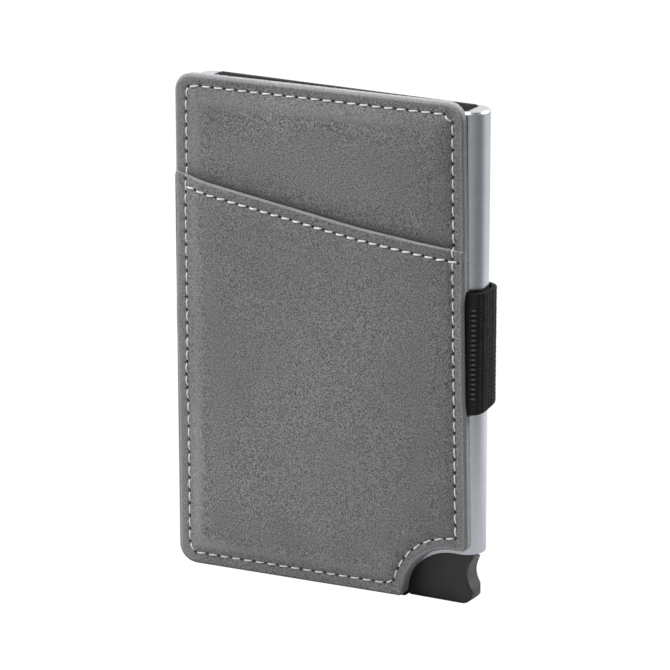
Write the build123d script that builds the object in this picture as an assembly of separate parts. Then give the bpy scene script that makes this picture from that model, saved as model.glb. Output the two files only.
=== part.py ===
from build123d import *
import os

# Slim card wallet: an aluminium card case with a corner trigger that pushes the cards up,
# a stitched leather-look panel with a slip pocket on its front, and a woven elastic band
# that goes round the case and is sewn into both edges of the panel.
#
# Working axes: X to the right, Y to the back, Z up. The case is centred on X, its front
# face is on Y = 0 and it stands on Z = 0. ORIGIN_SHIFT then centres the whole wallet.

# ---- case: a flat extruded tube, open at the top
CASE_W = 62.0
CASE_D = 7.1
CASE_H = 97.0
CASE_R = 3.25
WALL = 0.95
CAVITY_W = 55.8
CAVITY_R = 0.5
MOUTH_CHAMFER = 0.35

# ---- corner cut-out for the trigger, a quarter circle that runs out to the right side
CUT_R = 10.4
CUT_X = 26.5
RELIEF_SKIN = 0.65
RELIEF_TOP = 20.5

# ---- base plug, pressed into the bottom of the tube
FLANGE_T = 0.9
FLANGE_CHAMFER = 0.3
FLANGE_END_X = 15.9
CHEEK_END_X = 11.3
CHEEK_T = 1.0
PLUG_GAP = 0.05
CARD_SEAT_Z = 10.9

# ---- ejector lever with its trigger
LEVER_GAP = 0.15
LEVER_TOP_Z = 10.8
TIER_COUNT = 5
TIER_STEP = 0.55
BLOCK_X = 12.5
ARM_UNDER_Z = 1.3
ARM_END_Z = 8.0
ARM_T = 2.9
TRIGGER_X = 16.2
TRIGGER_R = 0.5
WAIST_X = 28.6
LIP_X = 29.7
SHOULDER_X = 29.7
SHOULDER_Z = 9.2
TOE_R = 2.2
NOSE_R = 1.2
TRIGGER_EDGE_R = 0.6
PIVOT_X = -23.3
PIVOT_Z = 4.7
HUB_R = 3.0
HUB_T = 1.1
HUB_CLEAR_R = 3.25
PIN_R = 0.75
PIN_PLAY = 0.05

# ---- torsion return spring, wound round the pivot pin
WIRE_R = 0.2
COIL_R = 1.5
COIL_TURNS = 3
COIL_PITCH = 0.42
LEVER_LEG = 8.0
PLUG_LEG = 3.1
LEDGE_W = 0.8
LEG_GAP = 0.02

# ---- felt liners and side strips in the cavity
LINER_T = 0.45
LINER_W = 54.6
LINER_BOTTOM_Z = 22.0
LINER_BELOW_RIM = 0.2
REAR_LINER_RISE = 0.25
GRIP_T = 0.5
GRIP_W = 4.2

# ---- front panel, in layers from the case outwards
PANEL_GAP = 0.1
BACKING_T = 0.5
BOARD_T = 0.9
FACE_T = 0.6
POCKET_T = 0.6
PANEL_TOP_W = 61.3
PANEL_BOTTOM_W = 62.6
PANEL_H = 97.9
PANEL_R = 3.5
PANEL_X = -1.52
PANEL_Z = 49.55
PANEL_LEAN = 0.9
NOTCH_R = 10.6
NOTCH_X = 28.2
NOTCH_UP = 0.2
NOTCH_CORNER_R = 1.1
POCKET_EDGE = [(-34.0, 30.7), (-25.5, 28.4), (9.0, 23.0), (34.0, 20.3)]
POCKET_BEND_R = 45.0

# ---- stitching
SEAM_INSET = 2.2
POCKET_SEAM_DROP = 2.2
POCKET_SEAM_END = 0.9
STITCH_PITCH = 2.6
POCKET_STITCH_PITCH = 2.35
STITCH_FILL = 0.64
THREAD_R = 0.24

# ---- elastic band
BAND_W = 24.0
BAND_Z = 50.6
BAND_T = 0.9
BAND_GAP = 0.1
BAND_R = 4.1
BAND_TAB_X = 21.0
BAND_SLOT = 0.15

# ---- values worked out from the ones above
CAVITY_D = CASE_D - 2 * WALL
MID_Y = CASE_D / 2
LEVER_FRONT_Y = WALL + LEVER_GAP
LEVER_REAR_Y = CASE_D - WALL - LEVER_GAP
TIER_T = (LEVER_REAR_Y - LEVER_FRONT_Y) / TIER_COUNT
ARM_FRONT_Y = MID_Y - ARM_T / 2
SPRING_Y = ARM_FRONT_Y + HUB_T + PLUG_GAP + WIRE_R
LEG_UNDER_Z = PIVOT_Z + COIL_R - WIRE_R - LEG_GAP
BACKING_Y = -PANEL_GAP
BOARD_Y = BACKING_Y - BACKING_T
FACE_Y = BOARD_Y - BOARD_T
POCKET_Y = FACE_Y - FACE_T
BAND_FRONT_Y = FACE_Y
BAND_REAR_Y = CASE_D + BAND_GAP + BAND_T
BAND_HALF_W = CASE_W / 2 + BAND_GAP + BAND_T
ORIGIN_SHIFT = Location((0.45, -2.58, 0))
FAR = 200.0


def slab(face, front_y, rear_y):
    """A plate whose outline is drawn in X and Z, between two depths."""
    return Pos(0, rear_y, 0) * Rot(90, 0, 0) * extrude(face, rear_y - front_y)


def prism(face, low_z, high_z):
    """A vertical prism whose outline is drawn in X and Y."""
    return Pos(0, 0, low_z) * extrude(face, high_z - low_z)


def case_outline(inset):
    """The tube's outer section, drawn in by an inset."""
    size = 2 * inset
    return Pos(0, MID_Y) * RectangleRounded(CASE_W - size, CASE_D - size, CASE_R - inset)


def box_between(low, high):
    """A box from its low corner to its high corner."""
    size = [b - a for a, b in zip(low, high)]
    middle = [(a + b) / 2 for a, b in zip(low, high)]
    return Pos(*middle) * Box(*size)


# ---- case ------------------------------------------------------------------------------

def make_case_shell():
    """The aluminium tube: milled corner, chamfered mouth, relief for the trigger's travel."""
    tube = prism(case_outline(0), FLANGE_T, CASE_H)
    rim = tube.faces().sort_by(Axis.Z)[-1].edges()
    tube = chamfer(rim, MOUTH_CHAMFER)
    cavity = Pos(0, MID_Y) * RectangleRounded(CAVITY_W, CAVITY_D, CAVITY_R)
    tube -= prism(cavity, -1, CASE_H + 1)
    corner = Pos(CUT_X, 0) * Circle(CUT_R)
    corner += Pos(CUT_X + CASE_W / 2, 0) * Rectangle(CASE_W, 2 * CUT_R)
    tube -= slab(corner, -1, CASE_D + 1)
    relief = prism(case_outline(RELIEF_SKIN), -1, RELIEF_TOP)
    keep_y = CASE_D - WALL
    side = box_between((CAVITY_W / 2 - 1, WALL, -1), (CASE_W, keep_y, RELIEF_TOP))
    return tube - (relief & side)


def make_liner(front_y, top_z):
    """One felt sheet on a wide inner wall."""
    low = (-LINER_W / 2, front_y, LINER_BOTTOM_Z)
    high = (LINER_W / 2, front_y + LINER_T, top_z)
    return box_between(low, high)


def make_side_grip(side):
    """One soft strip on a narrow inner wall, which stops a single card from sliding out."""
    wall_x = side * CAVITY_W / 2
    inner_x = wall_x - side * GRIP_T
    low = (min(wall_x, inner_x), MID_Y - GRIP_W / 2, LINER_BOTTOM_Z)
    high = (max(wall_x, inner_x), MID_Y + GRIP_W / 2, CASE_H - LINER_BELOW_RIM)
    return box_between(low, high)


# ---- base and mechanism ----------------------------------------------------------------

def make_base_plug():
    """The bottom closure: a flange under the tube and two cheeks that carry pin and cards."""
    flange = prism(case_outline(0), 0, FLANGE_T)
    flange = chamfer(flange.faces().sort_by(Axis.Z)[0].edges(), FLANGE_CHAMFER)
    flange -= box_between((FLANGE_END_X, -1, -1), (CASE_W, CASE_D + 1, CARD_SEAT_Z))
    left_x = -CAVITY_W / 2 + PLUG_GAP
    front_y = WALL + PLUG_GAP
    rear_y = CASE_D - WALL - PLUG_GAP
    inside = RectangleRounded(CAVITY_W - 2 * PLUG_GAP, CAVITY_D - 2 * PLUG_GAP, CAVITY_R)
    body = prism(Pos(0, MID_Y) * inside, FLANGE_T, CARD_SEAT_Z)
    body -= box_between((CHEEK_END_X, -1, -1), (CASE_W, CASE_D + 1, CARD_SEAT_Z + 1))
    slot_left = left_x + CHEEK_T
    slot_low = (slot_left, front_y + CHEEK_T, FLANGE_T)
    slot_high = (CASE_W, rear_y - CHEEK_T, CARD_SEAT_Z + 1)
    body -= box_between(slot_low, slot_high)
    leg_y = SPRING_Y + COIL_TURNS * COIL_PITCH
    ledge_low = (slot_left, leg_y - 2 * WIRE_R, FLANGE_T)
    ledge_high = (slot_left + LEDGE_W, rear_y - CHEEK_T, LEG_UNDER_Z)
    plug = flange + body + box_between(ledge_low, ledge_high)
    bore = Pos(PIVOT_X, PIVOT_Z) * Circle(PIN_R)
    return plug - slab(bore, front_y, rear_y)


def lever_outline(top_z):
    """The wide end of the lever seen from the front, with the thumb scoop on its right."""
    left_side = Polyline(
        (WAIST_X - 0.35, top_z),
        (BLOCK_X, top_z),
        (BLOCK_X, ARM_UNDER_Z),
        (TRIGGER_X, ARM_UNDER_Z),
        (TRIGGER_X, TRIGGER_R),
    )
    heel = Line((TRIGGER_X, TRIGGER_R), (TRIGGER_X + TRIGGER_R, 0))
    sole = Line((TRIGGER_X + TRIGGER_R, 0), (LIP_X - TOE_R, 0))
    toe = JernArc((LIP_X - TOE_R, 0), (1, 0), TOE_R, 100)
    scoop = Spline(
        toe @ 1,
        (WAIST_X + 0.4, 4.2),
        (WAIST_X, 5.8),
        (WAIST_X + 0.25, 7.4),
        (SHOULDER_X, SHOULDER_Z),
        tangents=[toe % 1, (1, 1.2)],
    )
    shoulder = Polyline((SHOULDER_X, SHOULDER_Z), (SHOULDER_X, SHOULDER_Z + 1), (WAIST_X - 0.35, top_z))
    return make_face(left_side + heel + sole + toe + scoop + shoulder)


def is_trigger_rim(spot):
    """Whether an edge's middle lies on the rim of the trigger: sole, toe, scoop or shoulder."""
    at_face = min(abs(spot.Y - LEVER_FRONT_Y), abs(spot.Y - LEVER_REAR_Y)) < 0.01
    return at_face and spot.X > TRIGGER_X + TRIGGER_R and spot.Z < LEVER_TOP_Z - 0.5


def make_ejector_lever():
    """One moulding: hub, arm, five card steps and the trigger that fills the corner."""
    whole = lever_outline(LEVER_TOP_Z)
    block = slab(whole, LEVER_FRONT_Y, LEVER_REAR_Y)
    rim = block.edges().filter_by(lambda edge: is_trigger_rim(edge.center()))
    block = fillet(rim, TRIGGER_EDGE_R)
    for tier in range(1, TIER_COUNT):
        tier_y = LEVER_FRONT_Y + tier * TIER_T
        tier_z = LEVER_TOP_Z - tier * TIER_STEP
        low = (BLOCK_X - 1, tier_y, tier_z)
        high = (CASE_W / 2, tier_y + TIER_T + 0.1, LEVER_TOP_Z + 1)
        block -= box_between(low, high)
    nose = RectangleRounded(2 * LIP_X, LEVER_REAR_Y - LEVER_FRONT_Y, NOSE_R)
    block &= prism(Pos(0, MID_Y) * nose, -1, LEVER_TOP_Z + 1)
    arm = Polyline(
        (PIVOT_X, PIVOT_Z - HUB_R),
        (BLOCK_X + 1, ARM_UNDER_Z),
        (BLOCK_X + 1, ARM_END_Z),
        (PIVOT_X, PIVOT_Z + HUB_R),
        close=True,
    )
    hub = Pos(PIVOT_X, PIVOT_Z) * Circle(HUB_R)
    lever = block + slab(make_face(arm) + hub, ARM_FRONT_Y, ARM_FRONT_Y + ARM_T)
    bore = Pos(PIVOT_X, PIVOT_Z) * Circle(PIN_R + PIN_PLAY)
    lever -= slab(bore, 0, CASE_D)
    coil_room = Pos(PIVOT_X, PIVOT_Z) * Circle(HUB_CLEAR_R)
    lever -= slab(coil_room, ARM_FRONT_Y + HUB_T, CASE_D)
    leg_low = (PIVOT_X, ARM_FRONT_Y + HUB_T, LEG_UNDER_Z)
    leg_high = (PIVOT_X + LEVER_LEG + 0.4, CASE_D, PIVOT_Z + HUB_R + 1)
    return lever - box_between(leg_low, leg_high)


def make_pivot_pin():
    """The steel pin that the lever turns on, held in both cheeks of the plug."""
    front_y = WALL + PLUG_GAP
    pin = Pos(PIVOT_X, PIVOT_Z) * Circle(PIN_R)
    return slab(pin, front_y, CASE_D - front_y)


def wire_run(start, end):
    """A straight piece of spring wire with round ends."""
    path = Line(start, end)
    section = Plane(origin=start, z_dir=path % 0) * Circle(WIRE_R)
    return sweep(section, path=path) + Pos(*end) * Sphere(WIRE_R)


def make_return_spring():
    """Torsion spring: one leg presses the arm down, the other rests on the plug's ledge."""
    coil_h = COIL_TURNS * COIL_PITCH
    helix = Helix(COIL_PITCH, coil_h, COIL_R, lefthand=True)
    section = Plane(origin=helix @ 0, z_dir=helix % 0) * Circle(WIRE_R)
    coil = sweep(section, path=helix, is_frenet=True)
    # the coil starts at its top (12 o'clock) once it is turned onto the pin's axis
    coil = Pos(PIVOT_X, SPRING_Y, PIVOT_Z) * Rot(-90, 0, 0) * Rot(0, 0, -90) * coil
    near_top = (PIVOT_X, SPRING_Y, PIVOT_Z + COIL_R)
    far_top = (PIVOT_X, SPRING_Y + coil_h, PIVOT_Z + COIL_R)
    lever_leg = wire_run(near_top, (PIVOT_X + LEVER_LEG, SPRING_Y, PIVOT_Z + COIL_R))
    plug_leg = wire_run(far_top, (PIVOT_X - PLUG_LEG, SPRING_Y + coil_h, PIVOT_Z + COIL_R))
    joints = Pos(*near_top) * Sphere(WIRE_R) + Pos(*far_top) * Sphere(WIRE_R)
    return coil + joints + lever_leg + plug_leg


# ---- front panel -----------------------------------------------------------------------

def on_panel(face):
    """Move an outline from the panel's own axes to its leaning place on the case."""
    return Pos(PANEL_X, PANEL_Z) * Rot(0, 0, PANEL_LEAN) * face


def panel_outline():
    """The panel's outline about its own middle: four corners and the trigger notch."""
    half_h = PANEL_H / 2
    quad = Polyline(
        (-PANEL_TOP_W / 2, half_h),
        (PANEL_TOP_W / 2, half_h),
        (PANEL_BOTTOM_W / 2, -half_h),
        (-PANEL_BOTTOM_W / 2, -half_h),
        close=True,
    )
    sheet = make_face(quad)
    sheet = fillet(sheet.vertices(), PANEL_R)
    notch_z = NOTCH_UP - half_h
    sheet -= Pos(NOTCH_X, notch_z) * Circle(NOTCH_R)
    side = Rectangle(NOTCH_R, NOTCH_R + 10, align=(Align.MIN, Align.MAX))
    sheet -= Pos(NOTCH_X, notch_z + NOTCH_R) * side
    corners = sheet.vertices().filter_by_position(Axis.Y, -FAR, notch_z + NOTCH_R + 0.01)
    low = corners.sort_by(Axis.Y)
    notch_ends = [v for v in low if abs(v.X - NOTCH_X) > 0.5 and v.X > NOTCH_X - NOTCH_R - 1]
    return fillet(notch_ends, NOTCH_CORNER_R)


def pocket_region(drop):
    """Everything under the pocket's slanting top edge, lowered by a drop."""
    points = [(x, z - drop) for x, z in POCKET_EDGE]
    edge = FilletPolyline(*points, radius=POCKET_BEND_R)
    rest = Polyline(points[-1], (points[-1][0], -FAR), (points[0][0], -FAR), points[0])
    return make_face(edge + rest)


def band_window(tab_x):
    """The two areas at the panel's edges that the band's sewn ends take up."""
    height = BAND_W + 2 * BAND_SLOT
    side = Rectangle(CASE_W, height, align=(Align.MIN, Align.CENTER))
    right = Pos(tab_x, BAND_Z) * side
    return right + mirror(right, Plane.YZ)


def make_panel_backing(outline):
    """Thin inner sheet against the case, open where the band passes through it."""
    sheet = on_panel(outline) - band_window(CASE_W / 2 - BAND_R)
    return slab(sheet, BOARD_Y, BACKING_Y)


def make_panel_board(outline):
    """Stiffening board between the two skins, cut away for the band's ends."""
    sheet = on_panel(outline) - band_window(BAND_TAB_X - BAND_SLOT)
    return slab(sheet, FACE_Y, BOARD_Y)


def make_panel_face(outline):
    """The leather-look front skin."""
    return slab(on_panel(outline), POCKET_Y, FACE_Y)


def make_pocket_panel(outline):
    """The second skin that makes the slip pocket."""
    sheet = on_panel(outline & pocket_region(0))
    return slab(sheet, POCKET_Y - POCKET_T, POCKET_Y)


def make_stitches(path, pitch, surface_y, crossed=None):
    """Half-round thread lengths at even spacing along a path drawn in X and Z.

    A stitch that would lie across the crossed seam is left out.
    """
    half = Circle(THREAD_R) & Pos(0, THREAD_R) * Rectangle(FAR, 2 * THREAD_R)
    length = pitch * STITCH_FILL
    lying = Rot(0, 90, 0) * Rot(0, 0, 90) * extrude(half, length / 2, both=True)
    count = round(path.length / pitch)
    stitches = []
    for index in range(count):
        place = (index + 0.5) / count
        spot = path.position_at(place)
        if crossed and crossed.distance_to(Vertex(*spot)) < length / 2 + 2 * THREAD_R:
            continue
        heading = path.tangent_at(place)
        angle = Vector(1, 0, 0).get_signed_angle(heading, Vector(0, 0, 1))
        depth = surface_y(spot)
        stitch = Pos(spot.X, depth, spot.Y) * Rot(90, 0, 0) * Rot(0, 0, angle) * lying
        stitches.append(stitch)
    return Compound(children=[s.solid() for s in stitches])


def perimeter_path(outline):
    """The line of the seam that runs all round the panel."""
    return on_panel(offset(outline, -SEAM_INSET)).face().outer_wire()


def make_perimeter_seam(outline):
    """The seam all round the panel, which also holds the band's ends."""
    pocket = on_panel(pocket_region(-STITCH_PITCH / 2)).face()

    def skin_y(spot):
        covered = pocket.is_inside(Vector(spot.X, spot.Y, 0))
        return POCKET_Y - POCKET_T if covered else POCKET_Y

    return make_stitches(perimeter_path(outline), STITCH_PITCH, skin_y)


def make_pocket_seam(outline):
    """The decorative seam under the pocket's edge, from side to side."""
    inner = offset(outline, -POCKET_SEAM_END)
    points = [(x, z - POCKET_SEAM_DROP) for x, z in POCKET_EDGE]
    line = on_panel(FilletPolyline(*points, radius=POCKET_BEND_R))
    path = Wire((line & on_panel(inner).face()).edges())
    pocket_y = POCKET_Y - POCKET_T
    return make_stitches(path, POCKET_STITCH_PITCH, lambda spot: pocket_y, perimeter_path(outline))


# ---- band ------------------------------------------------------------------------------

def make_elastic_band():
    """The band round sides and back, with a flat tab at each end inside the panel."""
    depth = BAND_REAR_Y - BAND_FRONT_Y
    middle_y = (BAND_REAR_Y + BAND_FRONT_Y) / 2
    outer = RectangleRounded(2 * BAND_HALF_W, depth, BAND_R)
    inner_w = 2 * (BAND_HALF_W - BAND_T)
    inner = RectangleRounded(inner_w, depth - 2 * BAND_T, BAND_R - BAND_T)
    ring = Pos(0, middle_y) * (outer - inner)
    ring -= Pos(0, BAND_FRONT_Y) * Rectangle(2 * BAND_TAB_X, 2 * BAND_T + 0.2)
    return prism(ring, BAND_Z - BAND_W / 2, BAND_Z + BAND_W / 2)


def main():
    outline = panel_outline()
    parts = {
        "case_shell": make_case_shell(),
        "base_plug": make_base_plug(),
        "ejector_lever": make_ejector_lever(),
        "pivot_pin": make_pivot_pin(),
        "return_spring": make_return_spring(),
        "liner_front": make_liner(WALL, CASE_H - LINER_BELOW_RIM),
        "liner_rear": make_liner(CASE_D - WALL - LINER_T, CASE_H + REAR_LINER_RISE),
        "side_grip_left": make_side_grip(-1),
        "side_grip_right": make_side_grip(1),
        "panel_backing": make_panel_backing(outline),
        "panel_board": make_panel_board(outline),
        "panel_face": make_panel_face(outline),
        "pocket_panel": make_pocket_panel(outline),
        "perimeter_seam": make_perimeter_seam(outline),
        "pocket_seam": make_pocket_seam(outline),
        "elastic_band": make_elastic_band(),
    }
    os.makedirs("parts", exist_ok=True)
    for name, shape in parts.items():
        export_step(shape.moved(ORIGIN_SHIFT), f"parts/{name}.step")
        box = shape.bounding_box()
        print(name, [round(v, 2) for v in (*box.min, *box.max)])


main()
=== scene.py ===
import bisect
import math
import random

import bpy
from mathutils import Matrix, Vector, noise
from mathutils.geometry import delaunay_2d_cdt
from mathutils.kdtree import KDTree


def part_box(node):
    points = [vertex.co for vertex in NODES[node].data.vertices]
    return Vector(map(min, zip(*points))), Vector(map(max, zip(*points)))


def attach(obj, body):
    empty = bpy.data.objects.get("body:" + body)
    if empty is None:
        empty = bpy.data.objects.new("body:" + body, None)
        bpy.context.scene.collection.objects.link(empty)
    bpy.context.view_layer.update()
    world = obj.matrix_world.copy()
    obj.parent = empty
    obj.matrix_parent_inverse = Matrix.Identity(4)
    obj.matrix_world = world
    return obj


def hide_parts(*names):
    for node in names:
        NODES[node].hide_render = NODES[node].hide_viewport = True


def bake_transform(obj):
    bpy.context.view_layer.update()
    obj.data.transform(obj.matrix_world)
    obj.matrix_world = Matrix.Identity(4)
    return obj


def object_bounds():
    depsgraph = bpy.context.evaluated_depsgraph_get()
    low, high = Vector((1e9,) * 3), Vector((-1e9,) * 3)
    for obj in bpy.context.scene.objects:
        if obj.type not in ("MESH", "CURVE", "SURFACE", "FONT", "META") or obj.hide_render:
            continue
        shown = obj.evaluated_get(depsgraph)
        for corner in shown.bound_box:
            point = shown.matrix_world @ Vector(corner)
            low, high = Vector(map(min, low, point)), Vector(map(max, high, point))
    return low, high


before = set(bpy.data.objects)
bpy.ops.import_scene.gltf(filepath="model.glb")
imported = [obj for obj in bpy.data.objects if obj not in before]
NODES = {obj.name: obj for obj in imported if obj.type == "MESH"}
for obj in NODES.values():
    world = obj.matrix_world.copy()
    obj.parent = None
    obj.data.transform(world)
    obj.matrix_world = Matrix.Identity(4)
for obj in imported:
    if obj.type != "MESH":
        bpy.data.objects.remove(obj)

CAD_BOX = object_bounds()
MM = 0.001
RNG = random.Random(11)

# ---- driving sizes, in millimetres --------------------------------------------------------
# the leather skins: their seams, the padding inside them and their cut edges
SEAM_INSET = 2.2
SEAM_PRESS = 0.2
PADDING_RISE = 0.8
EDGE_ROLL = 0.5
MOUTH_ROLL = 0.14
EDGE_SWAY = 0.3
BOW_Z = 50.0
DIP_Z = 70.0
HOLE_DEPTH = 0.4
HOLE_RINGS = ((0.17, 6), (0.34, 10), (0.58, 12))
RIM_STEPS = (0.03, 0.1, 0.22, 0.4, 0.62, 0.9)

# the stitches
STITCH_PITCH = 2.6
POCKET_STITCH_PITCH = 2.35
STITCH_FILL = 0.66
PLIES = 3
PLY_TURNS = 1.6
PLY_STEPS = 14
PLY_SIDES = 7

# the elastic band: its ribs, its weave and the column of stitches at its right end
BAND_T = 0.9
BAND_FRONT_R = 2.75
BAND_REAR_R = 3.65
BAND_HIDDEN = 3.0
BAND_STEP = 0.2
BAND_BULGE = 0.42
RIB_PITCH = 0.97
RIB_PARTS = 8
RIB_RELIEF = 0.06
WEAVE_PITCH = 0.95
WEAVE_RELIEF = 0.07
COLUMN_INSET = 1.65
PLAIN_RIBS = 3
CURL_RISE = 1.45

# the return spring
SPRING_TURNS = 3
SPRING_WIRE_R = 0.2
LEG_STEPS = 9
TURN_STEPS = 48
WIRE_SIDES = 14


# ---- small helpers ------------------------------------------------------------------------

def box_mm(node):
    """The lowest and highest corners of a CAD node, in millimetres."""
    low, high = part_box(node)
    return Vector(low) / MM, Vector(high) / MM


def smooth(value, low, high):
    """0 below low, 1 above high, with a smooth ramp between."""
    t = min(max((value - low) / (high - low), 0.0), 1.0)
    return t * t * (3 - 2 * t)


def bell(value, centre, width):
    """A smooth bump: 1 at the centre and almost 0 two widths away."""
    return math.exp(-((value - centre) / width) ** 2)


def decay(distance, reach):
    """1 up to a distance of 0, then dying away over reach."""
    return math.exp(-max(distance, 0.0) / reach)


def noise_at(x, z, scale, seed):
    """Smooth noise from about -1 to 1 over a plane, with features about scale wide."""
    return noise.noise(Vector((x / scale, seed * 7.31, z / scale)))


def add_object(name, vertices, faces, attributes=None):
    """A smooth-shaded mesh object from millimetre coordinates, with point attributes."""
    mesh = bpy.data.meshes.new(name)
    mesh.from_pydata([Vector(v) * MM for v in vertices], [], faces)
    for key, values in (attributes or {}).items():
        layer = mesh.attributes.new(key, "FLOAT", "POINT")
        layer.data.foreach_set("value", values)
    mesh.polygons.foreach_set("use_smooth", [True] * len(mesh.polygons))
    mesh.update()
    piece = bpy.data.objects.new(name, mesh)
    bpy.context.scene.collection.objects.link(piece)
    return piece


# ---- outlines read from the CAD nodes -----------------------------------------------------

def front_outline(node):
    """The outline of a flat node's front face, as (x, z) points in millimetres, in order."""
    mesh = NODES[node].data
    front_y = min(v.co.y for v in mesh.vertices) + 0.01 * MM
    edge_use = {}
    for polygon in mesh.polygons:
        corners = [mesh.vertices[i].co for i in polygon.vertices]
        if max(c.y for c in corners) > front_y:
            continue
        keys = [(round(c.x / MM, 3), round(c.z / MM, 3)) for c in corners]
        for a, b in zip(keys, keys[1:] + keys[:1]):
            edge_use.setdefault(frozenset((a, b)), []).append((a, b))
    follow = {}
    for uses in edge_use.values():
        if len(uses) == 1:
            a, b = uses[0]
            follow[a] = b
    start = next(iter(follow))
    loop = [start]
    while follow[loop[-1]] != start:
        loop.append(follow[loop[-1]])
    return [Vector(p) for p in loop]


def resample(points, spacing, closed=True):
    """Points at even spacing along a polyline."""
    ring = points + points[:1] if closed else points
    lengths = [(b - a).length for a, b in zip(ring, ring[1:])]
    total = sum(lengths)
    count = max(3, round(total / spacing))
    result = []
    index = 0
    passed = 0.0
    for step in range(count if closed else count + 1):
        target = total * step / count
        while index < len(lengths) - 1 and passed + lengths[index] < target:
            passed += lengths[index]
            index += 1
        share = (target - passed) / max(lengths[index], 1e-9)
        result.append(ring[index].lerp(ring[index + 1], min(share, 1.0)))
    return result


def signed_area(points):
    """Area of a closed outline, positive if it runs anticlockwise."""
    pairs = zip(points, points[1:] + points[:1])
    return sum(a.x * b.y - b.x * a.y for a, b in pairs) / 2


def inward_normals(points):
    """Unit normals of a closed anticlockwise outline, pointing into it."""
    result = []
    for before, after in zip(points[-1:] + points[:-1], points[1:] + points[:1]):
        along = (after - before).normalized()
        result.append(Vector((-along.y, along.x)))
    return result


class Outline:
    """A closed outline that knows how far inside it a spot is."""

    def __init__(self, points, spacing=0.3):
        if signed_area(points) < 0:
            points = points[::-1]
        self.points = resample(points, spacing)
        self.normals = inward_normals(self.points)
        self.tree = KDTree(len(self.points))
        for index, point in enumerate(self.points):
            self.tree.insert((point.x, point.y, 0), index)
        self.tree.balance()

    def depth(self, x, z):
        """Distance inside the outline, negative outside it."""
        spot, index, away = self.tree.find((x, z, 0))
        normal = self.normals[index]
        sideways = (x - spot.x) * normal.x + (z - spot.y) * normal.y
        return sideways if away < 0.5 else math.copysign(away, sideways)

    def inset(self, distance):
        """The outline drawn in, without the loops that a plain offset makes at corners."""
        moved = [p + n * distance for p, n in zip(self.points, self.normals)]
        kept = []
        for point in moved:
            away = self.tree.find((point.x, point.y, 0))[2]
            if away > distance - 0.04:
                kept.append(point)
        return kept


# ---- panel skins --------------------------------------------------------------------------

FACE_LOW, FACE_HIGH = box_mm("panel_face")
POCKET_LOW, POCKET_HIGH = box_mm("pocket_panel")
BAND_LOW, BAND_HIGH = box_mm("elastic_band")
PANEL_EDGE = Outline(front_outline("panel_face"))
POCKET_EDGE = Outline(front_outline("pocket_panel"))
MOUTH = sorted((p for p in POCKET_EDGE.points if PANEL_EDGE.depth(p.x, p.y) > 0.12), key=lambda p: p.x)
MOUTH_X = [p.x for p in MOUTH]


def mouth_drop(x, z):
    """How far a spot lies below the pocket's mouth, negative above it."""
    index = min(max(bisect.bisect(MOUTH_X, x), 1), len(MOUTH) - 1)
    a, b = MOUTH[index - 1], MOUTH[index]
    return a.y + (b.y - a.y) * (x - a.x) / max(b.x - a.x, 1e-6) - z


def seam_line():
    """The perimeter seam's line, a little uneven as a machine leaves it."""
    line = []
    for point in PANEL_EDGE.inset(SEAM_INSET):
        pull = 0.35 * bell(point.y, BAND_LOW.z, 4.0) if point.x < 0 else 0.0
        side = 0.09 * noise_at(point.x, point.y, 14.0, 3) - pull
        line.append(Vector((point.x + side, point.y + 0.06 * noise_at(point.x, point.y, 11.0, 4))))
    return line


def pocket_seam_line():
    """The line of the pocket's own seam, from edge to edge."""
    spots = [Vector((p.x, p.y - SEAM_INSET)) for p in MOUTH]
    return [s for s in spots if PANEL_EDGE.depth(s.x, s.y) > (SEAM_INSET - 0.2 if s.x < 0 else 0.9)]


PERIMETER_HOLES = resample(seam_line(), STITCH_PITCH)
POCKET_HOLES = resample(pocket_seam_line(), POCKET_STITCH_PITCH, closed=False)


def lookup(spots):
    """Nearest-spot lookup in the panel's plane."""
    tree = KDTree(len(spots))
    for index, spot in enumerate(spots):
        tree.insert((spot.x, spot.y, 0), index)
    tree.balance()
    return tree


def roll_drop(depth, reach, fall):
    """How far a rounded edge falls back at a distance inside the outline."""
    share = min(max(1 - depth / reach, 0.0), 1.0)
    return fall * (1 - math.sqrt(max(1 - share * share, 0.0)))


def skin_lift(x, z, depth, on_pocket):
    """How far the leather stands proud of its flat plane: padded inside, pressed at the seams."""
    valley = -SEAM_PRESS * bell(depth, SEAM_INSET, 0.55)
    padding = PADDING_RISE * (1 - decay(depth - SEAM_INSET, 2.4))
    lift = valley + padding - 0.04
    lift += 0.05 * noise_at(x, z, 17.0, 1) + 0.025 * noise_at(x, z, 6.0, 2)
    drop = mouth_drop(x, z)
    inside = smooth(depth, 2.0, 5.0)
    if on_pocket:
        lift -= (0.17 + 0.1 * inside) * bell(drop, SEAM_INSET, 0.5)
        return lift - 0.12 * decay(drop, 2.5) * inside
    lift -= 0.22 * decay(-drop, 2.2) * inside
    return lift * (1 - smooth(drop, 0.0, 1.5))


def pocket_bow(x, z, depth):
    """How far the pocket's mouth stands open."""
    return 0.16 * smooth(depth, 2.5, 12.0) * decay(mouth_drop(x, z), 3.5)


def skin_front(x, z, on_pocket):
    """The y of the leather's front, without its stitch holes."""
    depth = PANEL_EDGE.depth(x, z)
    drop = mouth_drop(x, z)
    thick = FACE_HIGH.y - FACE_LOW.y
    y = -skin_lift(x, z, depth, on_pocket)
    if on_pocket:
        fall = max(roll_drop(depth, EDGE_ROLL, thick), roll_drop(drop, MOUTH_ROLL, 0.4 * thick))
        return POCKET_LOW.y + y + fall - pocket_bow(x, z, depth)
    return FACE_LOW.y + y + roll_drop(depth, EDGE_ROLL, thick) * (1 - smooth(drop, 0.0, 1.0))


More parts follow.
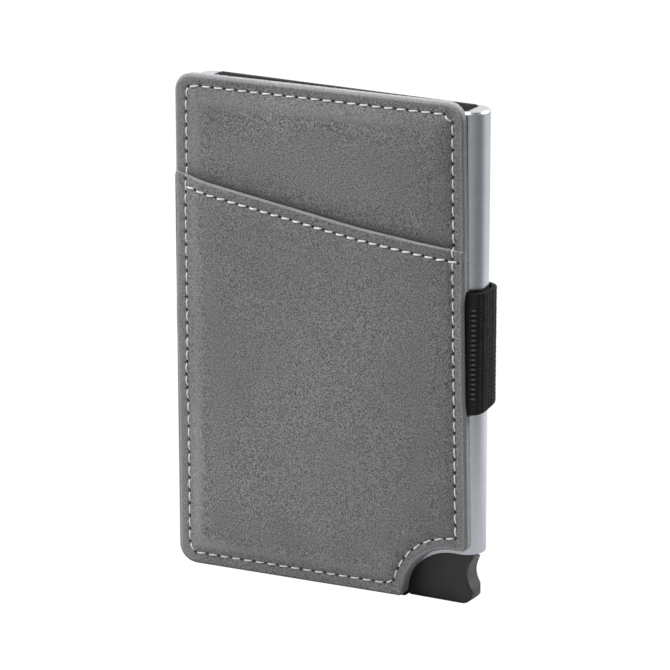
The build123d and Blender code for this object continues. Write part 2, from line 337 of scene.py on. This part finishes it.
def inside_points(outline, spacing, margin, keep):
    """Interior points on a staggered grid, clear of the outline."""
    xs = [p.x for p in outline.points]
    zs = [p.y for p in outline.points]
    points = []
    for row in range(int((max(zs) - min(zs)) / (spacing * 0.866)) + 1):
        z = min(zs) + row * spacing * 0.866
        for column in range(int((max(xs) - min(xs)) / spacing) + 1):
            x = min(xs) + (column + 0.5 * (row % 2)) * spacing
            if keep(x, z) and outline.depth(x, z) > margin:
                points.append(Vector((x, z)))
    return points


def hole_points(holes):
    """Rings of points round each stitch hole, so that its pit has a shape."""
    points = list(holes)
    for hole in holes:
        for radius, count in HOLE_RINGS:
            for step in range(count):
                angle = math.tau * step / count
                points.append(hole + Vector((math.cos(angle), math.sin(angle))) * radius)
    return points


def edge_sway(x, z, on_pocket):
    """How far the cut edge wanders sideways: bowed on the left, drawn in beside the band."""
    near = 1 - smooth(PANEL_EDGE.depth(x, z), 0.0, 2.0)
    if x > 0:
        past_lower = smooth(z, BAND_LOW.z - 1, BAND_LOW.z + 3)
        past_upper = smooth(z, BAND_HIGH.z - 3, BAND_HIGH.z + 1)
        beside = past_lower * (1 - past_upper)
        return -EDGE_SWAY * beside * near
    bow = EDGE_SWAY * bell(z, BOW_Z, 9.0) - 0.09 * bell(z, DIP_Z, 4.0)
    return -near * (bow if on_pocket else EDGE_SWAY)


def everywhere(x, z):
    """Keeps every spot."""
    return True


def no_sway(x, z):
    """Leaves every spot where it is."""
    return 0.0


def flat_piece(name, outline, holes, front, rear, marks, grow=0.0, spacing=0.85,
               keep=everywhere, sway=no_sway):
    """A closed piece filling an outline between two surfaces, each given as y of (x, z)."""
    tree = lookup(holes) if holes else None
    flat = [p - n * grow for p, n in zip(outline.points, outline.normals)]
    rim = len(flat)
    for distance in RIM_STEPS:
        flat += outline.inset(distance)
    flat += hole_points(holes)
    for point in inside_points(outline, spacing, 1.2, keep):
        if not tree or tree.find((point.x, point.y, 0))[2] > 0.8:
            flat.append(point)
    ring = [(i, (i + 1) % rim) for i in range(rim)]
    result = delaunay_2d_cdt(flat, ring, [], 1, 0.004)
    spots, faces = result[0], result[2]
    count = len(spots)
    rears = [rear(s.x, s.y) for s in spots]
    fronts = [min(front(s.x, s.y), y - 0.02) for s, y in zip(spots, rears)]
    sways = [s.x + sway(s.x, s.y) for s in spots]
    vertices = [(x, y, s.y) for x, s, y in zip(sways, spots, fronts)]
    vertices += [(x, y, s.y) for x, s, y in zip(sways, spots, rears)]
    if signed_area([spots[i] for i in faces[0]]) < 0:
        faces = [f[::-1] for f in faces]
    used = {(a, b) for face in faces for a, b in zip(face, face[1:] + face[:1])}
    sides = [(b, a, a + count, b + count) for a, b in used if (b, a) not in used]
    backs = [tuple(i + count for i in f[::-1]) for f in faces]
    layers = {key: [mark(s.x, s.y) for s in spots] * 2 for key, mark in marks.items()}
    return add_object(name, vertices, [tuple(f) for f in faces] + backs + sorted(sides), layers)


def declare_sheet(outline):
    """Works out the x and z of the outline's points and its area, and keeps none of them."""
    xs = [p.x for p in outline.points]
    zs = [p.y for p in outline.points]
    signed_area(outline.points) * MM * MM


def above_hem(z):
    """0 along the panel's lower edge, 1 a few millimetres above it."""
    return smooth(z, FACE_LOW.z + 1.0, FACE_LOW.z + 4.0)


def skin_marks(on_pocket, sink):
    """Functions of (x, z) that say where the leather's colour is darkened or lightened: painted shade in
    its stitch pits, above the pocket's mouth and towards the right; painted highlights along the pocket's
    mouth, along the turn of the rolled edge, on the padding and on the left rim; its lighter edge paint on
    the rim.
    """

    def shade(x, z):
        depth = PANEL_EDGE.depth(x, z)
        right = 0.14 * smooth(x, 6.0, 24.0) * smooth(depth, 1.8, 3.0)
        near = decay(-mouth_drop(x, z), 1.6) * smooth(depth, 1.4, 3.2)
        return right if on_pocket else max(right, near)

    # Painted highlight: a bright, uneven line along the pocket's mouth, faded out near the panel's outline;
    # none on the face skin.
    def edge(x, z):
        line = (1 - smooth(mouth_drop(x, z), 0.03, 0.2)) * smooth(PANEL_EDGE.depth(x, z), 1.0, 2.4)
        return line * (0.75 + 0.35 * noise_at(x, z, 5.0, 6)) if on_pocket else 0.0

    def rim(x, z):
        return (1 - smooth(PANEL_EDGE.depth(x, z), 0.15, 0.4)) * above_hem(z)

    # Painted highlight: a light line where the face turns into the rolled edge, kept off the lower edge.
    def edge_highlight(x, z):
        return bell(PANEL_EDGE.depth(x, z), 0.42, 0.14) * above_hem(z)

    # Painted highlight: lighter on the padding's ridge inside the seam except towards the right, more so
    # low on the left, and along the left rim, where these face the light.
    def glow(x, z):
        depth = PANEL_EDGE.depth(x, z)
        at_left = 1 - smooth(x, FACE_LOW.x + 3.0, FACE_LOW.x + 6.0)
        ridge = bell(depth, 4.4, 1.1) * (1 - smooth(x, 8.0, 24.0))
        low_left = 1 + 1.1 * (1 - smooth(x, -24.0, -16.0)) * (1 - smooth(z, 22.0, 45.0))
        return ridge * low_left + 1.3 * at_left * bell(depth, 1.0, 0.8)

    return {"pit_shade": sink, "shade": shade, "edge": edge, "rim": rim, "edge_highlight": edge_highlight, "glow": glow}


def make_skin(name, node, outline, holes, rear_y, on_pocket, grow, keep):
    """One leather skin with real stitch holes."""
    tree = lookup(holes)

    # the pit round each stitch hole: its depth, and where its painted shade goes
    def sink(x, z):
        return 1 - smooth(tree.find((x, z, 0))[2], 0.08, 0.34)

    def front(x, z):
        return skin_front(x, z, on_pocket) + HOLE_DEPTH * sink(x, z)

    def rear(x, z):
        return rear_y - (pocket_bow(x, z, PANEL_EDGE.depth(x, z)) if on_pocket else 0.0)

    def sway(x, z):
        return edge_sway(x, z, on_pocket)

    marks = skin_marks(on_pocket, sink)
    piece = flat_piece(name, outline, holes, front, rear, marks, grow, keep=keep, sway=sway)
    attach(piece, "panel")
    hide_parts(node)
    declare_sheet(outline)
    return piece


def make_skins():
    """The skin above the pocket and the pocket's own."""
    face_holes = [h for h in PERIMETER_HOLES if mouth_drop(h.x, h.y) < 0.0]
    pocket_holes = [h for h in PERIMETER_HOLES if mouth_drop(h.x, h.y) >= 0.0] + POCKET_HOLES
    face = make_skin("face_leather", "panel_face", PANEL_EDGE, face_holes,
                     FACE_HIGH.y, False, 0.05, lambda x, z: mouth_drop(x, z) < 3.0)
    pocket = make_skin("pocket_leather", "pocket_panel", POCKET_EDGE, pocket_holes,
                       POCKET_HIGH.y, True, 0.09, everywhere)
    return face, pocket


# ---- stitching ----------------------------------------------------------------------------

def ply_rings(start, end, slant, thread, ply):
    """Centres of one ply that twists with the others, out of one hole and into the next."""
    along = (end - start).normalized()
    across = Vector((-along.y, along.x))
    centres = []
    for step in range(PLY_STEPS + 1):
        t = step / PLY_STEPS
        middle = start.lerp(end, t) + across * (slant * (t - 0.5))
        rise = math.sin(math.pi * t) ** 0.6
        surface = skin_front(middle.x, middle.y, mouth_drop(middle.x, middle.y) > 0)
        swirl = math.tau * (ply / PLIES + PLY_TURNS * t)
        spot = middle + across * (0.45 * thread * math.cos(swirl))
        height = surface + 0.3 - (0.3 + thread) * rise
        centres.append(Vector((spot.x, height + 0.45 * thread * math.sin(swirl), spot.y)))
    return centres, Vector((-across.x, 0, -across.y))


def add_tube(centres, acrosses, radius, sides, vertices, faces):
    """A closed tube through the centres, each with its own direction across the tube."""
    base = len(vertices)
    for centre, across in zip(centres, acrosses):
        for side in range(sides):
            angle = math.tau * side / sides
            outward = Vector((0, radius * math.sin(angle), 0))
            vertices.append(centre + across * (radius * math.cos(angle)) + outward)
    for step in range(len(centres) - 1):
        for side in range(sides):
            a = base + step * sides + side
            b = base + step * sides + (side + 1) % sides
            faces.append((a, b, b + sides, a + sides))
    last = base + (len(centres) - 1) * sides
    faces.append(tuple(base + s for s in reversed(range(sides))))
    faces.append(tuple(last + s for s in range(sides)))


def make_seam(name, node, holes, closed, slant, thread):
    """All the stitches of one seam as one piece."""
    vertices, faces = [], []
    ends = holes[1:] + holes[:1] if closed else holes[1:]
    for start, end in zip(holes, ends):
        gap = (1 - STITCH_FILL) / 2 - 0.06
        a, b = start.lerp(end, gap), end.lerp(start, gap)
        lean = slant * RNG.uniform(0.6, 1.3)
        for ply in range(PLIES):
            centres, across = ply_rings(a, b, lean, thread, ply)
            add_tube(centres, [across] * len(centres), 0.56 * thread, PLY_SIDES, vertices, faces)
    piece = add_object(name, vertices, faces)
    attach(piece, "panel")
    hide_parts(node)
    return piece


def make_stitching():
    """The seam round the panel and the one along the pocket's mouth."""
    round_panel = make_seam("perimeter_stitching", "perimeter_seam", PERIMETER_HOLES, True, 0.16, 0.16)
    pocket_line = make_seam("pocket_stitching", "pocket_seam", POCKET_HOLES, False, 0.3, 0.2)
    return round_panel, pocket_line


# ---- elastic band -------------------------------------------------------------------------

def band_path(step):
    """The band's middle line round the case, as (spot, outward normal, distance along)."""
    half = BAND_T / 2
    left, right = BAND_LOW.x + half, BAND_HIGH.x - half
    front, rear = BAND_LOW.y + half, BAND_HIGH.y - half
    turns = [(left, front, BAND_FRONT_R, 270), (left, rear, BAND_REAR_R, 180),
             (right, rear, BAND_REAR_R, 90), (right, front, BAND_FRONT_R, 0)]
    line = [Vector((left + BAND_FRONT_R + BAND_HIDDEN, front))]
    for side, end, radius, start in turns:
        cx = side + radius if side < 0 else side - radius
        cy = end + radius if end < 0 else end - radius
        for part in range(25):
            angle = math.radians(start - 90 * part / 24)
            line.append(Vector((cx + radius * math.cos(angle), cy + radius * math.sin(angle))))
    line.append(Vector((right - BAND_FRONT_R - BAND_HIDDEN, front)))
    spots = resample(line, step, closed=False)
    result = []
    for index, spot in enumerate(spots):
        along = (spots[min(index + 1, len(spots) - 1)] - spots[max(index - 1, 0)]).normalized()
        result.append((spot, Vector((-along.y, along.x)), index * step))
    return result


def band_section():
    """The band's closed cross-section, ribbed outside and plain inside.

    Each point is (height, outward, groove depth for the painted groove shade, hole, stitch).
    """
    count = round((BAND_HIGH.z - BAND_LOW.z) / RIB_PITCH)
    pitch = (BAND_HIGH.z - BAND_LOW.z) / count
    parts = count * RIB_PARTS
    plain = PLAIN_RIBS * RIB_PARTS
    loop = []
    for part in range(parts + 1):
        height = BAND_LOW.z + part * pitch / RIB_PARTS
        crown = abs(math.sin(math.pi * part / RIB_PARTS)) ** 0.7
        off_groove = min(part % RIB_PARTS, RIB_PARTS - part % RIB_PARTS) * pitch / RIB_PARTS
        inner = 1.0 if plain < part < parts - plain else 0.0
        hole = inner * bell(off_groove, 0.0, 0.2)
        stitch = inner * bell(off_groove, pitch / 2, 0.2)
        loop.append((height, BAND_T / 2 - RIB_RELIEF * (1 - crown), 1 - crown, hole, stitch))
    loop[0] = (loop[0][0] + 0.05, 0.0, 1.0, 0.0, 0.0)
    loop[-1] = (loop[-1][0] - 0.05, 0.0, 1.0, 0.0, 0.0)
    for part in range(count * 2, -1, -1):
        height = BAND_LOW.z + 0.12 + (BAND_HIGH.z - BAND_LOW.z - 0.24) * part / (count * 2)
        loop.append((height, -BAND_T / 2 + 0.05 * (part % 2), 0.5, 0.0, 0.0))
    return loop


def wave(turns):
    """A smooth ripple from 0 to 1."""
    return 0.5 + 0.5 * math.cos(math.tau * turns)


def make_band():
    """The ribbed elastic, one closed strap from inside the panel round the case and back."""
    path = band_path(BAND_STEP)
    section = band_section()
    length = path[-1][2]
    column_at = length - BAND_HIDDEN - COLUMN_INSET
    rear_corner = length - BAND_HIDDEN - math.pi / 2 * BAND_FRONT_R - 4.4
    vertices = []
    marks = {key: [] for key in ("groove_shade", "column", "dot", "stitch", "front")}
    for spot, outward, along in path:
        woven = 1 - 0.8 * smooth(along, column_at - 0.8, column_at)
        curl = smooth(along, length - 20.0, length - 13.5)
        curl *= 1 - smooth(along, length - 13.0, length - 4.0)
        bulge = BAND_BULGE * bell(along, rear_corner, 3.5)
        for height, out, groove_shade, hole, stitch in section:
            outside = 1.0 if out > 0 else 0.0
            check = wave(along / WEAVE_PITCH) * wave((height - BAND_LOW.z) / (RIB_PITCH / 2))
            # the stitch holes of the column: dented in, and given painted shade below
            dot = hole * bell(along, column_at, 0.38)
            knot = stitch * bell(along, column_at, 0.27)
            lifted = height + CURL_RISE * curl * decay(height - BAND_LOW.z, 2.5)
            wander = 0.1 * noise_at(along, lifted, 9.0, 8)
            reach = out + WEAVE_RELIEF * woven * check * outside - 0.22 * dot + 0.05 * knot + bulge
            reach += 0.03 * outside * noise_at(along, height, 1.5, 9)
            vertices.append((spot.x + outward.x * reach, spot.y + outward.y * reach, lifted + wander))
            # painted shade in the grooves between the ribs
            marks["groove_shade"].append(groove_shade * outside * (0.3 + 0.7 * woven))
            marks["column"].append(check * check * woven * (0.9 + 0.9 * noise_at(along, height, 1.3, 10)))
            marks["dot"].append(dot)
            marks["stitch"].append(knot)
            marks["front"].append(outside * bell(along, column_at, 0.8))
    size = len(section)
    faces = []
    for ring in range(len(path) - 1):
        for part in range(size):
            a = ring * size + part
            b = ring * size + (part + 1) % size
            faces.append((a, b, b + size, a + size))
    faces.append(tuple(reversed(range(size))))
    last = (len(path) - 1) * size
    faces.append(tuple(last + part for part in range(size)))
    piece = add_object("ribbed_band", vertices, faces, marks)
    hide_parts("elastic_band")
    height = BAND_LOW.z * MM
    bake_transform(piece)
    return piece


# ---- return spring ------------------------------------------------------------------------

def make_spring():
    """The torsion spring: a leg on the plug, the coil round the pin and a leg on the lever."""
    low, high = box_mm("return_spring")
    pin_low, pin_high = box_mm("pivot_pin")
    near = Vector(((pin_low.x + pin_high.x) / 2, low.y + SPRING_WIRE_R, (low.z + high.z) / 2))
    far = Vector((near.x, high.y - SPRING_WIRE_R, near.z))
    coil_r = (high.z - low.z) / 2 - SPRING_WIRE_R
    top = near.z + coil_r
    centres, acrosses = [], []
    for step in range(LEG_STEPS):
        centres.append(Vector((high.x + (near.x - high.x) * step / LEG_STEPS, near.y, top)))
        acrosses.append(Vector((0, 0, 1)))
    coil_steps = TURN_STEPS * SPRING_TURNS
    for step in range(coil_steps + 1):
        angle = math.pi / 2 + math.tau * SPRING_TURNS * step / coil_steps
        out = Vector((math.cos(angle), 0, math.sin(angle)))
        centres.append(near.lerp(far, step / coil_steps) + out * coil_r)
        acrosses.append(out)
    for step in range(1, LEG_STEPS + 1):
        centres.append(Vector((far.x + (low.x - far.x) * step / LEG_STEPS, far.y, top)))
        acrosses.append(Vector((0, 0, 1)))
    vertices, faces = [], []
    add_tube(centres, acrosses, SPRING_WIRE_R, WIRE_SIDES, vertices, faces)
    piece = add_object("wound_spring", vertices, faces)
    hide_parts("return_spring")
    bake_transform(piece)
    return piece


# ---- materials ----------------------------------------------------------------------------

class Paint:
    """A material being built on one Principled shader."""

    def __init__(self, name, colour, roughness, metallic=0.0, **sockets):
        self.material = bpy.data.materials.new(name)
        self.material.use_nodes = True
        self.tree = self.material.node_tree
        self.shader = self.tree.nodes["Principled BSDF"]
        self.shader.inputs["Base Color"].default_value = (*colour, 1)
        self.shader.inputs["Roughness"].default_value = roughness
        self.shader.inputs["Metallic"].default_value = metallic
        for key, value in sockets.items():
            self.shader.inputs[key.replace("_", " ")].default_value = value
        self.place = self.node("ShaderNodeTexCoord").outputs["Object"]

    def node(self, kind, inputs=None, **settings):
        """A new node with its settings and inputs, each a value or another node's output."""
        made = self.tree.nodes.new(kind)
        for key, value in settings.items():
            setattr(made, key, value)
        for key, value in (inputs or {}).items():
            if isinstance(value, bpy.types.NodeSocket):
                self.tree.links.new(value, made.inputs[key])
            else:
                made.inputs[key].default_value = value
        return made

    def noise(self, size_mm, detail=2.0, stretch=None, distortion=0.0):
        """Noise from 0 to 1 with features about that size."""
        place = self.place
        if stretch:
            place = self.node("ShaderNodeMapping", {"Vector": place, "Scale": stretch}).outputs["Vector"]
        inputs = {"Vector": place, "Scale": 1 / (size_mm * MM), "Detail": detail, "Distortion": distortion}
        return self.node("ShaderNodeTexNoise", inputs).outputs["Fac"]

    def mark(self, name):
        """A point attribute of the mesh."""
        return self.node("ShaderNodeAttribute", attribute_name=name).outputs["Fac"]

    def ramp(self, value, low, high, to_low=0.0, to_high=1.0):
        """The value, rescaled and kept in range."""
        inputs = {"Value": value, "From Min": low, "From Max": high, "To Min": to_low, "To Max": to_high}
        return self.node("ShaderNodeMapRange", inputs).outputs["Result"]

    def math(self, operation, a, b):
        """One sum."""
        return self.node("ShaderNodeMath", {0: a, 1: b}, operation=operation).outputs[0]

    def mix(self, factor, a, b, blend="MIX"):
        """Two colours mixed, each a tuple or an output."""
        a = (*a, 1) if isinstance(a, tuple) else a
        b = (*b, 1) if isinstance(b, tuple) else b
        made = self.node("ShaderNodeMix", {"Factor": factor}, data_type="RGBA", blend_type=blend)
        for slot, value in ((6, a), (7, b)):
            if isinstance(value, bpy.types.NodeSocket):
                self.tree.links.new(value, made.inputs[slot])
            else:
                made.inputs[slot].default_value = value
        return made.outputs[2]

    def colour(self, output):
        """Links the base colour."""
        self.tree.links.new(output, self.shader.inputs["Base Color"])

    def rough(self, output):
        """Links the roughness."""
        self.tree.links.new(output, self.shader.inputs["Roughness"])

    def bump(self, height, depth_mm, strength=1.0):
        """Adds relief of that depth."""
        inputs = {"Height": height, "Distance": depth_mm * MM, "Strength": strength}
        under = self.shader.inputs["Normal"]
        if under.is_linked:
            inputs["Normal"] = under.links[0].from_socket
        self.tree.links.new(self.node("ShaderNodeBump", inputs).outputs["Normal"], under)

    def on(self, *pieces):
        """Gives the material to pieces."""
        for piece in pieces:
            piece.data.materials.clear()
            piece.data.materials.append(self.material)


def grey(level, tint=(1.0, 1.0, 1.0)):
    """A linear grey with a tint."""
    return tuple(level * t for t in tint)


def leather_paint(name):
    """Fine-grained grey nubuck leather."""
    paint = Paint(name, grey(0.17), 0.78, Sheen_Weight=0.08, Sheen_Roughness=0.5, Specular_IOR_Level=0.3)
    grain = paint.noise(0.26, 3.0)
    fine = paint.noise(0.14, 2.0)
    cloud = paint.noise(22.0, 3.0, (1.0, 1.0, 0.7), 0.6)
    base = paint.mix(paint.ramp(grain, 0.36, 0.64), grey(0.04), grey(0.31, (1.02, 0.99, 1.0)))
    base = paint.mix(paint.ramp(fine, 0.35, 0.65, 0.0, 0.5), base, grey(0.13))
    base = paint.mix(paint.ramp(cloud, 0.4, 0.65, 0.0, 0.3), base, grey(0.1))
    # painted highlight: the glow mark lightens the padding and left rim where they face the light
    base = paint.mix(paint.math("MULTIPLY", paint.mark("glow"), 0.22), base, grey(0.3))
    base = paint.mix(paint.math("MULTIPLY", paint.mark("shade"), 0.85), base, grey(0.03))
    # painted highlight along the pocket's mouth
    base = paint.mix(paint.math("MULTIPLY", paint.mark("edge"), 0.6), base, grey(0.36, (1.0, 1.0, 1.04)))
    base = paint.mix(paint.math("MULTIPLY", paint.mark("rim"), 0.7), base, grey(0.2, (0.99, 0.98, 1.06)))
    # painted highlight along the turn of the rolled edge
    base = paint.mix(paint.math("MULTIPLY", paint.mark("edge_highlight"), 0.5), base, grey(0.36, (0.99, 0.98, 1.06)))
    # painted shade: the stitch holes darkened almost to black
    base = paint.mix(paint.mark("pit_shade"), base, grey(0.015))
    paint.colour(base)
    paint.rough(paint.ramp(grain, 0.3, 0.7, 0.86, 0.7))
    paint.bump(grain, 0.09)
    paint.bump(fine, 0.03)
    return paint


def metal_paint(name, level, roughness, blast_mm):
    """Bead-blasted metal."""
    paint = Paint(name, grey(level), roughness, metallic=1.0)
    blast = paint.noise(blast_mm, 2.0)
    cloud = paint.noise(12.0, 2.0)
    tint = (0.955, 1.0, 1.06)
    paint.colour(paint.mix(paint.ramp(cloud, 0.3, 0.7), grey(level * 0.94, tint), grey(level, tint)))
    paint.rough(paint.ramp(blast, 0.3, 0.7, roughness - 0.01, roughness + 0.03))
    paint.bump(blast, 0.0015)
    return paint


def plastic_paint(name, level, roughness):
    """Moulded plastic with a fine spark texture."""
    paint = Paint(name, grey(level), roughness)
    spark = paint.noise(0.12, 2.0)
    wear = paint.noise(5.0, 3.0)
    paint.colour(paint.mix(paint.ramp(wear, 0.35, 0.75), grey(level), grey(level * 1.35)))
    paint.rough(paint.ramp(wear, 0.3, 0.7, roughness - 0.05, roughness + 0.08))
    paint.bump(spark, 0.01)
    return paint


def elastic_paint():
    """Black ribbed elastic with its weave."""
    paint = Paint("elastic_weave", grey(0.01), 0.75, Sheen_Weight=0.02, Specular_IOR_Level=0.1)
    thread = paint.noise(0.18, 2.0, (1.0, 1.0, 2.5))
    base = paint.mix(paint.ramp(thread, 0.3, 0.75), grey(0.002), grey(0.01))
    base = paint.mix(paint.math("MULTIPLY", paint.mark("column"), 0.9), base, grey(0.06))
    # painted shade: the grooves between the ribs darkened
    base = paint.mix(paint.math("MULTIPLY", paint.mark("groove_shade"), 0.3), base, grey(0.003))
    base = paint.mix(paint.math("MULTIPLY", paint.mark("front"), 0.9), base, grey(0.024))
    base = paint.mix(paint.math("MULTIPLY", paint.mark("stitch"), 0.9), base, grey(0.16))
    # painted shade: the stitch holes in the band's column darkened almost to black
    paint.colour(paint.mix(paint.mark("dot"), base, grey(0.001)))
    paint.rough(paint.ramp(thread, 0.3, 0.7, 0.62, 0.85))
    paint.bump(thread, 0.05)
    paint.bump(paint.mark("column"), 0.05)
    return paint


def thread_paint():
    """Pale waxed polyester thread."""
    paint = Paint("sewing_thread", grey(0.7), 0.6, Sheen_Weight=0.2)
    fibre = paint.noise(0.1, 2.0)
    paint.colour(paint.mix(paint.ramp(fibre, 0.3, 0.7), grey(0.62), grey(0.86)))
    paint.rough(paint.ramp(fibre, 0.3, 0.7, 0.5, 0.75))
    paint.bump(fibre, 0.02)
    return paint


def fabric_paint(name, level, size_mm, relief):
    """Felt, lining or rubber: a close fibrous surface."""
    paint = Paint(name, grey(level), 0.9, Sheen_Weight=0.15)
    fibre = paint.noise(size_mm, 3.0)
    paint.colour(paint.mix(paint.ramp(fibre, 0.3, 0.7), grey(level * 0.7), grey(level * 1.4)))
    paint.rough(paint.ramp(fibre, 0.3, 0.7, 0.95, 0.8))
    paint.bump(fibre, relief)
    return paint


# ---- small soft pieces --------------------------------------------------------------------

def make_lining(name, node, body, outline, relief, fibre):
    """A thin lining cut to an outline, softly rounded at its rim and slightly uneven."""
    low, high = box_mm(node)

    def ease(x, z):
        return roll_drop(outline.depth(x, z), 0.25, 0.15) + relief * (0.5 + 0.5 * noise_at(x, z, fibre, 5))

    piece = flat_piece(name, outline, [], lambda x, z: low.y + ease(x, z), lambda x, z: high.y - ease(x, z),
                       {}, spacing=1.1)
    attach(piece, body)
    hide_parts(node)
    declare_sheet(outline)
    return piece


def box_outline(node):
    """A node's front outline as a rectangle."""
    low, high = box_mm(node)
    corners = ((low.x, low.z), (high.x, low.z), (high.x, high.z), (low.x, high.z))
    return Outline([Vector(corner) for corner in corners])


def make_linings():
    """The two felts in the card cavity and the cloth behind the panel."""
    felts = []
    for side in ("front", "rear"):
        node = f"liner_{side}"
        cut = box_outline(node)
        felts.append(make_lining(f"{side}_felt", node, "case", cut, 0.06, 1.6))
    node = "panel_backing"
    cut = Outline(front_outline(node))
    cloth = make_lining("panel_lining", node, "panel", cut, 0.02, 2.5)
    return felts, cloth


# ---- stage, in metres ---------------------------------------------------------------------

FLOOR_REACH = 6.0
DARK_PATCH = (0.33, -0.02, 0)


def floor_paint():
    """White to the camera. What the metal reflects is grey with painted light and shade: lighter near the
    foot and behind, darker in a patch at the right.
    """
    paint = Paint("floor_white", grey(0.32), 0.9)
    from_patch = paint.node("ShaderNodeVectorMath", {0: paint.place, 1: DARK_PATCH}, operation="DISTANCE")
    back = paint.node("ShaderNodeSeparateXYZ", {0: paint.place}).outputs["Y"]
    behind = paint.mix(paint.ramp(back, 0.15, 0.28), grey(0.54), grey(0.4))
    from_foot = paint.node("ShaderNodeVectorMath", {0: paint.place}, operation="LENGTH").outputs["Value"]
    base = paint.mix(paint.ramp(from_foot, 0.1, 0.18), grey(0.44), grey(0.3))
    base = paint.mix(paint.ramp(back, 0.03, 0.09), base, behind)
    paint.colour(paint.mix(paint.ramp(from_patch.outputs["Value"], 0.275, 0.11), base, grey(0.15)))
    glow = paint.node("ShaderNodeEmission", {"Strength": 1.05})
    path = paint.node("ShaderNodeLightPath")
    mixed = paint.node("ShaderNodeMixShader", {"Fac": path.outputs["Is Camera Ray"]})
    paint.tree.links.new(paint.shader.outputs["BSDF"], mixed.inputs[1])
    paint.tree.links.new(glow.outputs["Emission"], mixed.inputs[2])
    paint.tree.links.new(mixed.outputs["Shader"], paint.tree.nodes["Material Output"].inputs["Surface"])
    return paint


def make_floor():
    """One large flat floor."""
    mesh = bpy.data.meshes.new("floor")
    reach = FLOOR_REACH
    corners = [(-reach, -reach, 0), (reach, -reach, 0), (reach, reach, 0), (-reach, reach, 0)]
    mesh.from_pydata(corners, [], [(0, 1, 2, 3)])
    floor = bpy.data.objects.new("floor", mesh)
    bpy.context.scene.collection.objects.link(floor)
    floor_paint().on(floor)


def add_light(name, place, aim, width, height, watts):
    """A soft rectangular light."""
    lamp = bpy.data.lights.new(name, "AREA")
    lamp.shape = "RECTANGLE"
    lamp.size, lamp.size_y, lamp.energy = width, height, watts
    light = bpy.data.objects.new(name, lamp)
    light.location = place
    light.rotation_euler = (Vector(aim) - Vector(place)).to_track_quat("-Z", "Y").to_euler()
    bpy.context.scene.collection.objects.link(light)


def make_lights():
    """Soft studio light, most of it from the upper left, above and behind."""
    low, high = (Vector(c) for c in CAD_BOX)
    aim = (low + high) / 2
    add_light("key", aim + Vector((-0.65, -0.7, 0.6)), aim, 0.6, 0.6, 8.5)
    add_light("strip", aim + Vector((0.33, -0.85, 0.1)), aim, 0.1, 0.7, 0.25)
    add_light("top", aim + Vector((-0.25, 0.0, 0.9)), aim, 0.6, 0.4, 12.0)
    add_light("back", aim + Vector((0.5, 0.65, 0.6)), aim, 0.5, 0.5, 10.0)


def make_surround():
    """White to the camera. Everything else is lit by a surround that grows brighter to the back."""
    world = bpy.data.worlds.new("surround")
    bpy.context.scene.world = world
    world.use_nodes = True
    backdrop = world.node_tree.nodes["Background"]
    backdrop.inputs["Color"].default_value = (1, 1, 1, 1)
    nodes, links = world.node_tree.nodes, world.node_tree.links
    path = nodes.new("ShaderNodeLightPath")
    split = nodes.new("ShaderNodeSeparateXYZ")
    links.new(nodes.new("ShaderNodeTexCoord").outputs["Generated"], split.inputs[0])
    around = nodes.new("ShaderNodeMapRange")
    for key, value in (("From Min", -0.1), ("From Max", 0.9), ("To Min", 0.2), ("To Max", 1.3)):
        around.inputs[key].default_value = value
    links.new(split.outputs["Y"], around.inputs["Value"])
    level = nodes.new("ShaderNodeMix")
    level.inputs["B"].default_value = 1.05
    links.new(path.outputs["Is Camera Ray"], level.inputs["Factor"])
    links.new(around.outputs["Result"], level.inputs["A"])
    links.new(level.outputs["Result"], backdrop.inputs["Strength"])


def make_camera():
    """A long lens, to the right of the front and a little above."""
    azimuth, elevation, roll = math.radians(28.16), math.radians(16.47), math.radians(0.176)
    distance = 1.0104
    level = math.cos(elevation)
    back = Vector((math.sin(azimuth) * level, -math.cos(azimuth) * level, math.sin(elevation)))
    right = Vector((math.cos(azimuth), math.sin(azimuth), 0))
    up = back.cross(right)
    turned = right * math.cos(roll) + up * math.sin(roll)
    upright = up * math.cos(roll) - right * math.sin(roll)
    target = Vector((-1.076, 1.46, 48.71)) * MM
    lens = bpy.data.cameras.new("camera")
    lens.lens, lens.sensor_width = 283.5, 36.0
    camera = bpy.data.objects.new("camera", lens)
    facing = Matrix((turned, upright, back)).transposed().to_4x4()
    camera.matrix_world = Matrix.Translation(target + back * distance) @ facing
    bpy.context.scene.collection.objects.link(camera)
    bpy.context.scene.camera = camera
    bpy.context.scene.view_settings.view_transform = "Standard"


# ---- build --------------------------------------------------------------------------------

make_camera()
make_floor()
make_lights()
make_surround()
face, pocket = make_skins()
leather_paint("nubuck").on(face, pocket)
thread_paint().on(*make_stitching())
elastic_paint().on(make_band())
felts, cloth = make_linings()
fabric_paint("felt_grey", 0.035, 0.25, 0.08).on(*felts)
fabric_paint("lining_cloth", 0.22, 0.3, 0.04).on(cloth)
metal_paint("blasted_aluminium", 0.45, 0.25, 0.16).on(NODES["case_shell"])
metal_paint("steel", 0.5, 0.25, 0.2).on(NODES["pivot_pin"], make_spring())
plastic_paint("satin_black", 0.012, 0.42).on(NODES["ejector_lever"])
plastic_paint("base_black", 0.014, 0.5).on(NODES["base_plug"])
fabric_paint("grip_rubber_black", 0.012, 0.15, 0.02).on(NODES["side_grip_left"], NODES["side_grip_right"])
fabric_paint("panel_edge_paint", 0.17, 0.4, 0.03).on(NODES["panel_board"])
